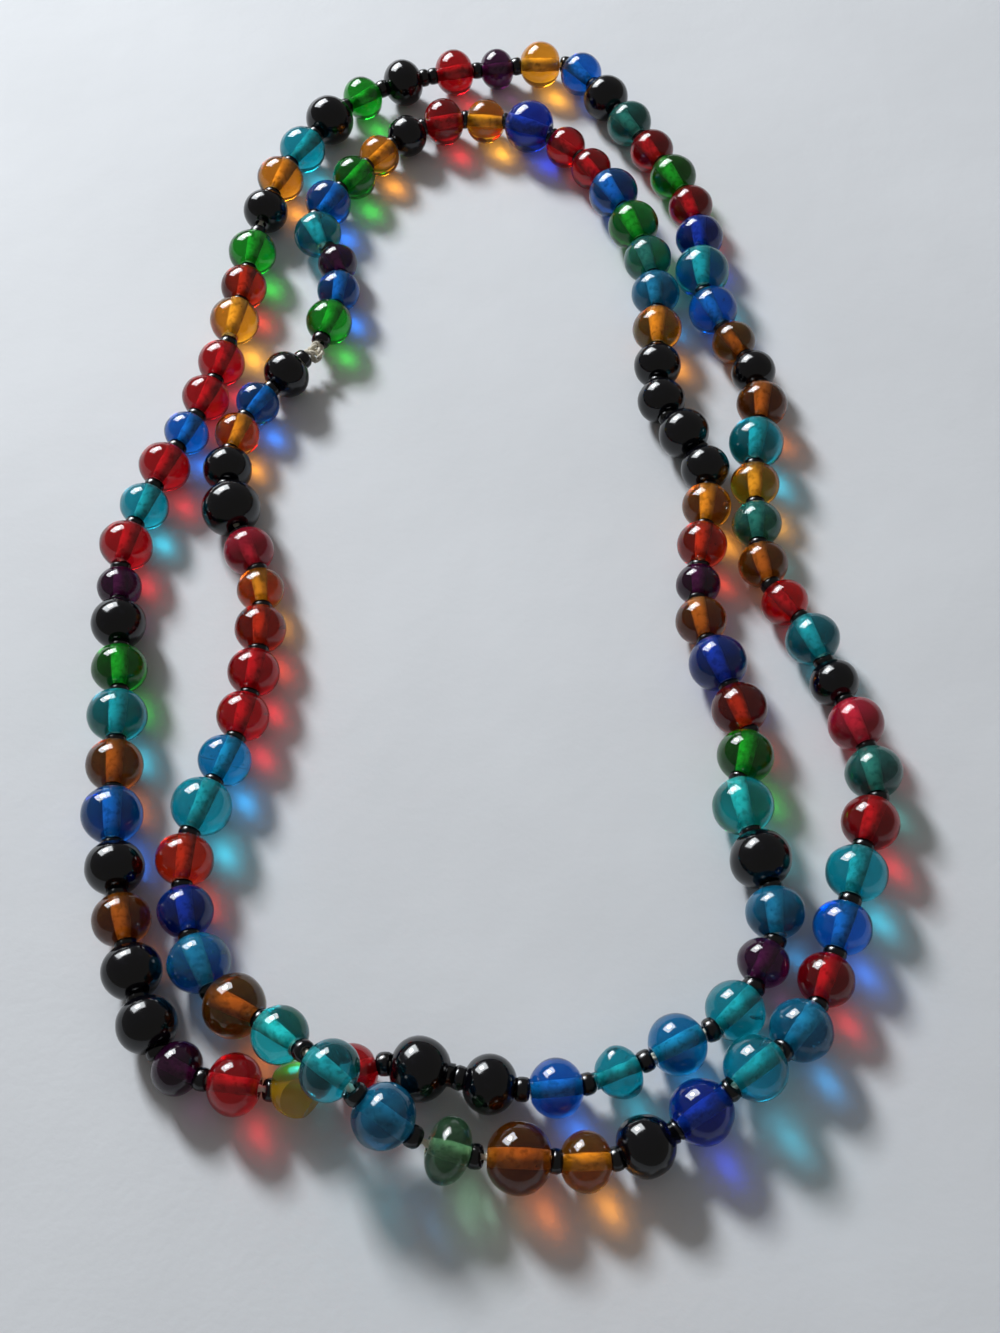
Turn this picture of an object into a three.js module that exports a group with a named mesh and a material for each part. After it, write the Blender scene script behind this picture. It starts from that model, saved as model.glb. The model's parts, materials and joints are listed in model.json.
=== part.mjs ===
// A beaded necklace lying on a table: one closed strand of round glass beads with a small spacer between
// each two, laid round twice so that it reads as two rows. Millimetres, +Z up, the table at Z = 0.
import * as THREE from "three";

// Driving sizes.
const PLAIN_BEAD = 8; // diameter of a bead with no size mark
const MARK = 0.5; // what each + adds to a bead's diameter, and each - takes from it
const BEAD_LENGTH_SHARE = 0.84; // a bead's length along the thread, beside its diameter
const BAND_SHARE = 0.16; // half of the straight band round a bead's middle, beside its half length
const SHOULDER_SHARE = 0.62; // where a bead's shoulder lies, beside its half length
const SPACER_RADIUS = 1.6;
const BARE_THREAD = 1.2; // thread left bare at a colon, or taken there by a second spacer
const KNOT_ROOM = 6; // thread taken by the knot and its spacers
const GAP = 0.35; // left between one solid and the next
const LEAST_END = 0.3; // the shortest and longest spacer that ends a run
const MOST_END = 1.6;
const KNOT = { length: 2.4, width: 2.9, height: 2.6, aside: 0.6 };
const SIDES = 8;
const BEADS_PER_RUN = 4; // beads joined on the thread in one solid
const STEPS = 24; // fine steps between two points of the route
const ROUGHNESS = 0.12;

// The strand from the knot round to the knot again. Each stretch starts at the first of its points,
// and its beads fill it in order. A colon is bare thread, and + or - marks a larger or smaller bead.
const STRETCHES = [
  {
    name: "inner_left",
    through: [
      [-28, 36], [-39.5, 18.5], [-41, 3], [-34.5, -15.5], [-35.5, -37], [-42, -60.5], [-37.5, -78.5],
    ],
    beads: `knot black cobalt- amber- black black+++ garnet amber- scarlet red red azure teal++ scarlet+
      navy petrol++ brown++`,
  },
  {
    name: "bottom_outer",
    through: [[-29.5, -85], [-10, -100], [7.5, -103], [20.5, -101.5], [36.5, -91]],
    beads: "turquoise : teal+ petrol++ pale++ brown+++ amber black+ navy++ teal++ petrol++",
  },
  {
    name: "lower_right_outer",
    through: [[45, -82], [53.5, -59.5], [56.5, -46.5], [49.5, -23.5], [43.5, -11]],
    beads: "red cobalt+ teal++ red+ seagreen+ garnet+ black- teal+ red- brown seagreen golden",
  },
  {
    name: "upper_right_outer",
    through: [[43.5, 9], [45.5, 26], [38, 45], [36, 68]],
    beads: "teal++ brown+ black- brown- cobalt+ teal+++ navy+ red green+ red seagreen+ black+",
  },
  {
    name: "top_outer",
    through: [[20, 98], [13, 103.5], [-4, 102], [-21.5, 96]],
    beads: "cobalt golden+ plum- red+ : black+ green black++",
  },
  {
    name: "upper_left_outer",
    through: [[-31.5, 84.5], [-39, 67], [-44.5, 29.5], [-53, 4.5]],
    beads: "teal+ amber+ black : : green+ scarlet golden+ : red red cobalt- red+ teal red+",
  },
  {
    name: "lower_left_outer",
    through: [[-56.5, -11], [-54.5, -31], [-52, -60.5], [-44.5, -85.5]],
    beads: "plum-- black+ green+ teal++ brown+ cobalt++ black+ brown+ black+ black+ plum-",
  },
  {
    name: "bottom_inner",
    through: [[-37, -92], [-23.5, -93.5], [-13, -90.5], [10, -93.5], [31, -85]],
    beads: "red+ chipped--- red- black++ black cobalt teal- azure+ teal+",
  },
  {
    name: "lower_right_inner",
    through: [[36.5, -79], [40.5, -69], [37, -51], [38.5, -39.5], [33, -19.5], [35.5, 3]],
    beads: "plum- petrol+ black++ turquoise++ green+ scarlet+ navy++ brown plum-- scarlet amber black",
  },
  {
    name: "upper_right_inner",
    through: [[34.5, 12], [29, 23], [28.5, 52.5], [18, 78]],
    beads: "black+ black black amber+ petrol+ seagreen+ green++ cobalt++ red- red- navy+++",
  },
  {
    name: "top_inner",
    through: [[3.5, 88], [-12.5, 86.5], [-25, 72.5], [-30, 61.5], [-25.5, 51.5]],
    beads: "golden red+ black- amber- green cobalt+ teal+ plum-- cobalt- green",
  },
];

// Beads raised off the table, counted along the strand from the knot. The strand crosses over itself at the
// third of them, and the last leans on the row beside it.
const RAISED = [
  { bead: 16, rise: 0.6 },
  { bead: 17, rise: 3.7 },
  { bead: 18, rise: 7.2 },
  { bead: 19, rise: 4.2 },
  { bead: 20, rise: 0.6 },
  { bead: 25, rise: 1.6 },
];

const COLOURS = {
  black: 0x0b0b12,
  plum: 0x2a0a24,
  garnet: 0x6a0612,
  red: 0xa80a14,
  scarlet: 0xb82410,
  amber: 0xb8660c,
  golden: 0xc08410,
  chipped: 0xb87c10,
  brown: 0x6e3a0c,
  green: 0x067a18,
  pale: 0x5f8268,
  seagreen: 0x0f6a6c,
  teal: 0x0c8c9c,
  turquoise: 0x16a8ac,
  azure: 0x0e78b4,
  petrol: 0x0c4a74,
  cobalt: 0x0c3cb0,
  navy: 0x0a1a6c,
};
const THREAD_COLOUR = 0xd8d0bc;

// The route as a fine line with its length so far at each step.
function followRoute(points) {
  const curve = new THREE.CatmullRomCurve3(points, true, "catmullrom", 0.5);
  const line = curve.getPoints(points.length * STEPS);
  const soFar = [0];
  for (let i = 1; i < line.length; i++) soFar.push(soFar[i - 1] + line[i].distanceTo(line[i - 1]));
  return { line, soFar };
}

// The place on the route at a length along it, and the way the thread runs there.
function placeAt({ line, soFar }, length) {
  let i = soFar.findIndex((reached) => reached >= length);
  i = i < 1 ? 1 : i;
  const share = (length - soFar[i - 1]) / (soFar[i] - soFar[i - 1]);
  return {
    at: line[i - 1].clone().lerp(line[i], share),
    along: line[i].clone().sub(line[i - 1]).normalize(),
  };
}

// A stretch's words, each with the thread that it takes.
function readBeads(words) {
  return words
    .trim()
    .split(/\s+/)
    .map((word) => {
      if (word === ":") return { kind: "thread", room: BARE_THREAD };
      if (word === "knot") return { kind: "knot", room: KNOT_ROOM };
      const colour = word.replace(/[+-]/g, "");
      const diameter = PLAIN_BEAD + MARK * (word.split("+").length - word.split("-").length);
      return { kind: "bead", room: diameter, diameter, colour };
    });
}

// Every bead and the knot, placed on the route in plan.
function layOut() {
  const points = STRETCHES.flatMap(({ through }) => through.map(([x, y]) => new THREE.Vector3(x, y, 0)));
  const route = followRoute(points);
  const pieces = [];
  let pointsBefore = 0;
  for (const { name, through, beads } of STRETCHES) {
    const from = route.soFar[pointsBefore * STEPS];
    pointsBefore += through.length;
    const to = route.soFar[pointsBefore * STEPS];
    const items = readBeads(beads);
    const stretching = (to - from) / items.reduce((sum, { room }) => sum + room, 0);
    let reached = from;
    for (const item of items) {
      const room = item.room * stretching;
      if (item.kind !== "thread") pieces.push({ ...item, stretch: name, ...placeAt(route, reached + room / 2) });
      reached += room;
    }
  }
  return pieces;
}

// A bead's frame: its centre, the thread's way through it, and the two directions across.
function standBead(bead, index) {
  const riseOf = (number) => RAISED.find((row) => row.bead === number)?.rise ?? 0;
  const number = index + 1;
  const rise = riseOf(number);
  const climb = rise ? (riseOf(number + 1) - riseOf(number - 1)) / (2 * bead.diameter) : 0;
  bead.at.z = bead.diameter / 2 + rise;
  bead.along.z = climb;
  bead.along.normalize();
  bead.side = new THREE.Vector3(bead.along.y, -bead.along.x, 0).normalize();
  bead.up = new THREE.Vector3().crossVectors(bead.side, bead.along);
}

// A bead's profile from end to end: its spacer's radius at each end, a shoulder, and a band at full width.
function beadProfile({ diameter }) {
  const radius = diameter / 2;
  const half = (BEAD_LENGTH_SHARE * diameter) / 2;
  const rows = [
    { along: -half, radius: SPACER_RADIUS },
    { along: -half * SHOULDER_SHARE, radius: radius * Math.sqrt(1 - SHOULDER_SHARE ** 2) },
    { along: -half * BAND_SHARE, radius },
  ];
  return rows.concat(rows.toReversed().map((row) => ({ along: -row.along, radius: row.radius })));
}

// The spacer that ends a run: as long as the room before the next bead allows, less where the thread bends.
function endSpacer(last, next) {
  const bend = last.along.angleTo(next.along);
  const faces = last.at.distanceTo(next.at) - (BEAD_LENGTH_SHARE * (last.diameter + next.diameter)) / 2;
  const length = Math.min(faces - GAP - SPACER_RADIUS * Math.sin(bend), MOST_END);
  if (length < LEAST_END) return [];
  return [{ along: (BEAD_LENGTH_SHARE * last.diameter) / 2 + length, radius: SPACER_RADIUS, bead: last }];
}

// Beads joined on their thread as one solid. A row of profile points is turned about the thread, and each
// bead's rings then take that bead's place and direction, so that the spacers between follow the bend.
function beadRun(beads, next) {
  const rows = beads.flatMap((bead) => beadProfile(bead).map((row) => ({ ...row, bead })));
  rows.push(...endSpacer(beads.at(-1), next));
  rows.unshift({ ...rows[0], radius: 0 });
  rows.push({ ...rows.at(-1), radius: 0 });
  const toCorner = 1 / Math.cos(Math.PI / SIDES); // so that flats touch the true circle
  const profile = rows.map(({ radius }, i) => new THREE.Vector2(radius * toCorner, i));
  const geometry = new THREE.LatheGeometry(profile, SIDES, Math.PI / SIDES);
  const spot = geometry.getAttribute("position");
  for (let i = 0; i < spot.count; i++) {
    const { bead, along } = rows[Math.round(spot.getY(i))];
    const place = bead.at
      .clone()
      .addScaledVector(bead.along, along)
      .addScaledVector(bead.side, spot.getX(i))
      .addScaledVector(bead.up, spot.getZ(i));
    spot.setXYZ(i, place.x, place.y, place.z);
  }
  geometry.deleteAttribute("normal");
  geometry.deleteAttribute("uv");
  return geometry;
}

function glass(colour) {
  return new THREE.MeshStandardMaterial({
    color: COLOURS[colour],
    roughness: ROUGHNESS,
    metalness: 0,
    flatShading: true,
  });
}

// The thread's knot, a small lump beside the line of the strand.
function makeKnot({ at, along }) {
  const geometry = new THREE.SphereGeometry(0.5, SIDES, SIDES - 2);
  geometry.scale(KNOT.length, KNOT.width, KNOT.height);
  const mesh = new THREE.Mesh(
    geometry,
    new THREE.MeshStandardMaterial({ color: THREAD_COLOUR, roughness: 0.9, metalness: 0, flatShading: true }),
  );
  mesh.name = "knot";
  mesh.position.set(at.x + KNOT.aside, at.y - KNOT.aside, PLAIN_BEAD / 2);
  mesh.rotation.z = Math.atan2(along.y, along.x);
  return mesh;
}

// A stretch's beads in runs of nearly equal number.
function splitInRuns(beads) {
  const count = Math.ceil(beads.length / BEADS_PER_RUN);
  return Array.from({ length: count }, (_, i) =>
    beads.slice(Math.round((i * beads.length) / count), Math.round(((i + 1) * beads.length) / count)),
  );
}

const necklace = new THREE.Group();
const pieces = layOut();
const beads = pieces.filter(({ kind }) => kind === "bead");
beads.forEach(standBead);
for (const { name } of STRETCHES) {
  splitInRuns(beads.filter(({ stretch }) => stretch === name)).forEach((run, i) => {
    const next = beads[(beads.indexOf(run.at(-1)) + 1) % beads.length];
    const mesh = new THREE.Mesh(beadRun(run, next), glass(run[Math.floor(run.length / 2)].colour));
    mesh.name = `${name}_${i + 1}`;
    necklace.add(mesh);
  });
}
necklace.add(makeKnot(pieces.find(({ kind }) => kind === "knot")));

// The origin is under the middle of the whole necklace, on the table.
const box = new THREE.Box3().setFromObject(necklace, true);
const middle = box.getCenter(new THREE.Vector3());
necklace.position.set(-middle.x, -middle.y, -box.min.z);

export default necklace;
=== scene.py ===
"""A beaded necklace: one closed strand of handmade glass beads with a small black spacer between each two,
laid round twice on a sheet of pale paper.

Laid out as an add-on with an operator for each group of like pieces, and run as a script. Metres, +Z up, in
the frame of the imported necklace, whose runs of joined beads these pieces stand for.
"""

import json
import math
import random
from collections import namedtuple

import bmesh
import bpy
from mathutils import Matrix, Quaternion, Vector, noise

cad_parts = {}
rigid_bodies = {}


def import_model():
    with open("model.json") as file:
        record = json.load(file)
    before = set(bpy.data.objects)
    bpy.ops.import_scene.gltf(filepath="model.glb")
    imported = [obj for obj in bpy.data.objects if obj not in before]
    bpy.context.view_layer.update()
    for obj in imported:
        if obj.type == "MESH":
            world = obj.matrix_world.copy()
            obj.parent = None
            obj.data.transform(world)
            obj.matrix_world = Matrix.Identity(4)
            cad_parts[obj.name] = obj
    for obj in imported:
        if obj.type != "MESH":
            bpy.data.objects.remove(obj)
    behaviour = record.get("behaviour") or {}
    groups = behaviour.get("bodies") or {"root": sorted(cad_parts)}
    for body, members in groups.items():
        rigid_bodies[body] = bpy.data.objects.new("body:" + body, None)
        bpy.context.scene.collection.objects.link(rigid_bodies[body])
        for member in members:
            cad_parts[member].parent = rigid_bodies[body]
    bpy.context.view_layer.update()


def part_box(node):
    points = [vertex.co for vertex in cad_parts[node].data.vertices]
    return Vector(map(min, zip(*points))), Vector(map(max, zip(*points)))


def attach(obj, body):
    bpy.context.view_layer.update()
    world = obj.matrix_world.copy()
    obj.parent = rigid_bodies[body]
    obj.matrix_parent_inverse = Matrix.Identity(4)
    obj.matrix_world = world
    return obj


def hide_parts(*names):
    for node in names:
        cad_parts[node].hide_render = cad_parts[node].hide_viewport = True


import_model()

bl_info = {
    "name": "Beaded necklace",
    "version": (1, 0, 0),
    "blender": (4, 5, 0),
    "location": "View3D > Sidebar > Necklace",
    "description": "Makes a necklace of handmade glass beads round its packed frame",
    "category": "Add Mesh",
}

# The strand, from the knot round to the knot again. Each stretch starts at the first of its points, and its
# beads fill it in order. A colon is bare thread, and + or - marks a larger or smaller bead.
Stretch = namedtuple("Stretch", "name through beads")
STRETCHES = (
    Stretch(
        "inner_left",
        (
            (-0.028, 0.036), (-0.0395, 0.0185), (-0.041, 0.003), (-0.0345, -0.0155), (-0.0355, -0.037),
            (-0.042, -0.0605), (-0.0375, -0.0785),
        ),
        (
            "knot black cobalt- amber- black black+++ garnet amber- scarlet red red azure teal++ "
            "scarlet+ navy petrol++ brown++"
        ),
    ),
    Stretch(
        "bottom_outer",
        ((-0.0295, -0.085), (-0.01, -0.1), (0.0075, -0.103), (0.0205, -0.1015), (0.0365, -0.091)),
        "turquoise : teal+ petrol++ pale++ brown+++ amber black+ navy++ teal++ petrol++",
    ),
    Stretch(
        "lower_right_outer",
        ((0.045, -0.082), (0.0535, -0.0595), (0.0565, -0.0465), (0.0495, -0.0235), (0.0435, -0.011)),
        "red cobalt+ teal++ red+ seagreen+ garnet+ black- teal+ red- brown seagreen golden",
    ),
    Stretch(
        "upper_right_outer",
        ((0.0435, 0.009), (0.0455, 0.026), (0.038, 0.045), (0.036, 0.068)),
        "teal++ brown+ black- brown- cobalt+ teal+++ navy+ red green+ red seagreen+ black+",
    ),
    Stretch(
        "top_outer",
        ((0.02, 0.098), (0.013, 0.1035), (-0.004, 0.102), (-0.0215, 0.096)),
        "cobalt golden+ plum- red+ : black+ green black++",
    ),
    Stretch(
        "upper_left_outer",
        ((-0.0315, 0.0845), (-0.039, 0.067), (-0.0445, 0.0295), (-0.053, 0.0045)),
        "teal+ amber+ black : : green+ scarlet golden+ : red red cobalt- red+ teal red+",
    ),
    Stretch(
        "lower_left_outer",
        ((-0.0565, -0.011), (-0.0545, -0.031), (-0.052, -0.0605), (-0.0445, -0.0855)),
        "plum-- black+ green+ teal++ brown+ cobalt++ black+ brown+ black+ black+ plum-",
    ),
    Stretch(
        "bottom_inner",
        ((-0.037, -0.092), (-0.0235, -0.0935), (-0.013, -0.0905), (0.01, -0.0935), (0.031, -0.085)),
        "red+ chipped--- red- black++ black cobalt teal- azure+ teal+",
    ),
    Stretch(
        "lower_right_inner",
        (
            (0.0365, -0.079), (0.0405, -0.069), (0.037, -0.051), (0.0385, -0.0395), (0.033, -0.0195),
            (0.0355, 0.003),
        ),
        "plum- petrol+ black++ turquoise++ green+ scarlet+ navy++ brown plum-- scarlet amber black",
    ),
    Stretch(
        "upper_right_inner",
        ((0.0345, 0.012), (0.029, 0.023), (0.0285, 0.0525), (0.018, 0.078)),
        "black+ black black amber+ petrol+ seagreen+ green++ cobalt++ red- red- navy+++",
    ),
    Stretch(
        "top_inner",
        ((0.0035, 0.088), (-0.0125, 0.0865), (-0.025, 0.0725), (-0.03, 0.0615), (-0.0255, 0.0515)),
        "golden red+ black- amber- green cobalt+ teal+ plum-- cobalt- green",
    ),
)

# Beads raised off the paper, by their number along the strand from the knot. The strand crosses over itself
# at the third of them, and the last leans on the row beside it.
RAISED = {16: 0.0006, 17: 0.0037, 18: 0.0072, 19: 0.0042, 20: 0.0006, 25: 0.0016}
BEADS_PER_RUN = 4  # beads in each node of the frame
STEPS = 24  # fine steps between two points of the route
ROUTE_TENSION = 0.5
TWO_SPACERS = (55,)  # the beads with two spacers before them
SPACER_LENGTH = 0.002  # of a spacer with room to spare
KNOT_ASIDE = Vector((0.0006, -0.0006, 0))  # from the line of the strand

# The shapes that the beads come in, for a bead of radius 1 whose bore runs along Z. Length is the half length
# of the rounded outline, fullness squares it, taper narrows one end, and wobble is how uneven the wall is.
# Collars are drawn out round the near and the far mouth. Each lump has its place along the bore, its angle,
# its height and its width. Bubbles are counted, and cracks are given by their places beside the bore.
Form = namedtuple("Form", "length fullness taper wobble collars lumps bubbles cracks", defaults=((),))
FORMS = {
    "round": Form(0.930, 0.97, 0.00, 0.018, (0, 0), (), 2),
    "full": Form(0.910, 0.90, 0.02, 0.022, (0, 0), (), 3),
    "drop": Form(0.950, 1.02, 0.05, 0.020, (0, 0), (), 1),
    "flat": Form(0.870, 0.92, -0.02, 0.024, (0, 0), (), 2),
    "short": Form(0.860, 0.93, 0.02, 0.022, (0, 0), (), 3),
    "ring": Form(0.660, 0.90, 0.03, 0.030, (0, 0), (), 6),
    "seedy": Form(0.920, 0.95, 0.02, 0.034, (0, 0), (), 18),
    "flawed": Form(0.920, 0.94, 0.02, 0.030, (0, 0), (), 8, (0.55, -0.55)),
    "collared": Form(0.930, 0.98, 0.05, 0.030, (0, 0.16), (), 0),
    "lumpy": Form(
        0.920, 0.84, -0.04, 0.050, (0.14, 0), ((0.0, 3.9, 0.12, 0.46), (0.38, 0.1, 0.20, 0.62)), 8
    ),
}
PLAIN_FORMS = ("round", "full", "drop", "flat")
# The beads whose shape stands out, by their number along the strand. They aren't spun about the thread.
ODD_BEADS = {
    11: "flawed", 15: "seedy", 19: "seedy", 20: "ring", 22: "flat", 23: "collared", 26: "seedy", 31: "seedy",
    34: "seedy", 37: "seedy", 53: "short", 54: "short", 55: "short", 56: "short", 65: "seedy", 84: "collared",
    87: "lumpy", 105: "seedy",
}
SEGMENTS = 36  # round a bead
ARC_ROWS = 17  # along a bead's wall
LIP = 0.37  # radius of the rim of a bead's mouth
MOUTH = ((0.31, 0.004), (0.25, -0.03), (0.205, -0.08))  # radius, and height beside the rim, going in
BORE = 0.18
MOUTH_DEPTH = 0.17  # from the rim down to where the bore runs straight
IN_MOUTH = LIP - 0.02  # radius within which a point lies in the mouth or the bore
WOBBLES = ((1.1, 1.0), (2.6, 0.45))  # how closely the wall's waves come, and their shares
LINING = (0.19, 0.13)  # outer and inner radius of the clay that lines the bore
LINING_SEGMENTS = 16
LINING_BEVEL = 0.02  # how much further along the bore the lining's inner wall runs
SEAT = 0.80  # how far along the thread a spacer seats, beside a bead's radius

# The hollows in the glass, for a bead of radius 1.
BUBBLE_OUT = (0.36, 0.84)  # from the bore's axis
BUBBLE_UP = 0.75  # of the bead's half length there
BUBBLE_SIZE = (0.012, 0.028)
CRACK = (0.29, 0.30, 0.012)  # half width, half length and half thickness
CRACK_RISE = 0.05
CRACK_LEAN = math.radians(-31)

# The spacers. The outline is that of the upper half, as radius and height, for a spacer of radius and half
# length 1.
SPACER_OUTLINE = ((0.42, 0.86), (0.60, 1.0), (0.84, 0.90), (0.97, 0.55), (1.0, 0.0))
SPACER_SEGMENTS = 20
SPACER_LEAN = 0.08
SPACER_SIZES = (0.94, 1.05)  # least and most, beside the plain spacer
KNOT_SPACER = 0.62  # length of a spacer by the knot, beside its diameter

# The chipped bead: its size before it was chipped and how far its middle is raised, both beside its radius,
# and the planes that knocked its corners off, with their distance from its centre, turn about the bore and
# lean.
CHIPPED_SIZE = 1.2
CHIPPED_RISE = 0.2
CHIPS = ((0.62, 0.5, 0.35), (0.66, 2.1, -0.5), (0.60, 3.9, 0.6), (0.70, 5.2, -0.2), (0.72, 1.2, 0.9))

# The thread and its knot.
PLY_APART = 0.9  # from the middle of the thread to a ply's, beside a ply's radius
PLY_SEGMENTS = 7
KNOT_SIZE = 0.00052
KNOT_HEIGHT = 1.4
KNOT_POINTS = 36
KNOT_PLY, KNOT_TWIST, KNOT_STEP = 0.85, 0.8, 0.5  # beside the strand's ply, twist and ply

# The glasses. Depth is the share of light of other colours that is taken up within, haze the roughness, swirl
# how far the colour wanders, and milk the share of light that is scattered.
Glass = namedtuple("Glass", "slot depth haze swirl milk")
GLASSES = {
    "plum": Glass("plum_glass", 0.80, 0.05, 0.25, 0.08),
    "garnet": Glass("garnet_glass", 0.28, 0.04, 0.20, 0.30),
    "red": Glass("red_glass", 0.35, 0.03, 0.12, 0.13),
    "scarlet": Glass("scarlet_glass", 0.35, 0.04, 0.20, 0.04),
    "amber": Glass("amber_glass", 0.30, 0.03, 0.25, 0.04),
    "golden": Glass("golden_glass", 0.25, 0.03, 0.20, 0.04),
    "brown": Glass("brown_glass", 0.50, 0.03, 0.25, 0.05),
    "green": Glass("green_glass", 0.40, 0.04, 0.20, 0.06),
    "pale": Glass("pale_green_glass", 0.30, 0.05, 0.40, 0.08),
    "seagreen": Glass("seagreen_glass", 0.45, 0.05, 0.35, 0.22),
    "teal": Glass("teal_glass", 0.30, 0.03, 0.15, 0.12),
    "turquoise": Glass("turquoise_glass", 0.25, 0.03, 0.12, 0.04),
    "azure": Glass("azure_glass", 0.30, 0.03, 0.15, 0.09),
    "petrol": Glass("petrol_glass", 0.24, 0.05, 0.35, 0.30),
    "cobalt": Glass("cobalt_glass", 0.45, 0.03, 0.15, 0.10),
    "navy": Glass("navy_glass", 0.48, 0.05, 0.20, 0.16),
}
GLASS_IOR = 1.52
GLASS_DENSITY = 400  # of what takes up light within
STREAK_LIGHT = 0.6  # how far the pale streaks go, beside the swirl
# The bright heart of a bead's shadow: the light at its middle and round it, its width, and its depth of
# colour.
HEART_LIGHT, HEART_EDGE, HEART_WIDTH, HEART_DEPTH = 1.15, 0.14, 0.08, 0.42

# Grain of the finishes: features to a metre, and the swirls to a bead's radius.
WALL_WAVES = 330
PITS = 900
FIBRES = 5200
CLAY_PATCHES = 1400
PAPER_CLOUDS = 22
PAPER_TOOTH = 900
SWIRLS = 1.7
SWIRLS_APART = 30  # how far a bead's own shade moves its swirls

# The light comes from a window at the left, beyond the narrow end.
WINDOW_TURN = math.radians(33)
WINDOW_RISE = math.radians(33)
WINDOW_DISTANCE = 1.6
SKY = (0.32, 0.30)  # the patch of bright sky that casts the shadows
PANE = (1.13, 0.88)  # the whole window, which only the gloss mirrors
DAYLIGHT = (0.93, 0.97, 1.0)
ROOM_TINT = (1.0, 0.97, 0.92, 1)
PAPER_DROP = 0.00005  # below the beads, so that they never share a surface


def length_of(name, description, default):
    return bpy.props.FloatProperty(
        name=name, description=description, default=default, min=0, precision=5, unit="LENGTH"
    )


def colour_of(name, default):
    return bpy.props.FloatVectorProperty(
        name=name, description=f"Colour of the {name.lower()}", default=default, min=0, max=1, subtype="COLOR"
    )


class StrandSettings(bpy.types.PropertyGroup):
    """Sizes of the strand."""

    plain_bead: length_of("Plain Bead", "Diameter of a bead with no size mark", 0.008)
    mark: length_of("Size Mark", "What each mark adds to or takes from a bead's diameter", 0.0005)
    spacer: length_of("Spacer", "Diameter of a spacer", 0.0032)
    bare_thread: length_of("Bare Thread", "Thread left bare at a colon, or under a second spacer", 0.0012)
    knot_room: length_of("Knot Room", "Thread taken by the knot and its spacers", 0.006)
    ply: length_of("Ply", "Diameter of each of the thread's two plies", 0.00062)
    twist: length_of("Twist", "Length of thread in which its plies turn once", 0.0032)
    shuffle: bpy.props.IntProperty(
        name="Shuffle", description="Seed for the turn, form and shade of each bead", default=11, min=0
    )


class FinishSettings(bpy.types.PropertyGroup):
    """Colours of the glasses and the thread."""

    black: colour_of("Black Glass", (0.0012, 0.0012, 0.0028))
    plum: colour_of("Plum Glass", (0.16, 0.010, 0.13))
    garnet: colour_of("Garnet Glass", (0.72, 0.020, 0.060))
    red: colour_of("Red Glass", (0.60, 0.006, 0.014))
    scarlet: colour_of("Scarlet Glass", (0.60, 0.034, 0.006))
    amber: colour_of("Amber Glass", (0.80, 0.34, 0.014))
    golden: colour_of("Golden Glass", (0.88, 0.44, 0.02))
    brown: colour_of("Brown Glass", (0.62, 0.21, 0.012))
    green: colour_of("Green Glass", (0.012, 0.50, 0.03))
    pale: colour_of("Pale Green Glass", (0.20, 0.50, 0.26))
    seagreen: colour_of("Sea Green Glass", (0.03, 0.34, 0.30))
    teal: colour_of("Teal Glass", (0.010, 0.48, 0.58))
    turquoise: colour_of("Turquoise Glass", (0.016, 0.60, 0.64))
    azure: colour_of("Azure Glass", (0.006, 0.36, 0.66))
    petrol: colour_of("Petrol Glass", (0.008, 0.28, 0.56))
    cobalt: colour_of("Cobalt Glass", (0.004, 0.26, 0.74))
    navy: colour_of("Navy Glass", (0.007, 0.07, 0.60))
    thread: colour_of("Thread", (0.78, 0.70, 0.54))
    clay: colour_of("Bore Clay", (0.56, 0.53, 0.47))


class StageSettings(bpy.types.PropertyGroup):
    """The paper, the light and the camera."""

    paper: colour_of("Paper", (0.80, 0.82, 0.86))
    paper_width: length_of("Paper Width", "Side of the sheet under the necklace", 1.6)
    window_power: bpy.props.FloatProperty(
        name="Window Power", description="Power of the window light", default=26, min=0, unit="POWER"
    )
    gloss_power: bpy.props.FloatProperty(
        name="Gloss Power", description="Power of the wide pane that the gloss mirrors", default=40, min=0,
        unit="POWER",
    )
    room_light: bpy.props.FloatProperty(
        name="Room Light", description="Strength of the even light of the room", default=0.17, min=0
    )
    lens: bpy.props.FloatProperty(
        name="Lens", description="Focal length in millimetres", default=47.26, min=1
    )
    camera_place: bpy.props.FloatVectorProperty(
        name="Camera Place", description="Where the camera stands", default=(0.0022, -0.1645, 0.2294),
        subtype="TRANSLATION", unit="LENGTH",
    )
    camera_tilt: bpy.props.FloatProperty(
        name="Camera Tilt", description="How far the camera is raised from looking straight down",
        default=math.radians(31), subtype="ANGLE",
    )


# The layout of the strand.


def follow_route(points):
    """The closed route as a fine line, with its length so far at each step."""
    line = []
    for i, start in enumerate(points):
        before, end, after = points[i - 1], points[(i + 1) % len(points)], points[(i + 2) % len(points)]
        leaving, arriving = ROUTE_TENSION * (end - before), ROUTE_TENSION * (after - start)
        for step in range(STEPS):
            t = step / STEPS
            line.append(
                start + leaving * t + (3 * (end - start) - 2 * leaving - arriving) * t**2
                + (2 * (start - end) + leaving + arriving) * t**3
            )
    line.append(points[0])
    so_far = [0.0]
    for a, b in zip(line, line[1:]):
        so_far.append(so_far[-1] + (b - a).length)
    return line, so_far


def place_at(route, length):
    """The place on the route at a length along it, and the way the thread runs there."""
    line, so_far = route
    i = max(1, next(step for step, reached in enumerate(so_far) if reached >= length))
    share = (length - so_far[i - 1]) / (so_far[i] - so_far[i - 1])
    return line[i - 1].lerp(line[i], share), (line[i] - line[i - 1]).normalized()


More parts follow.
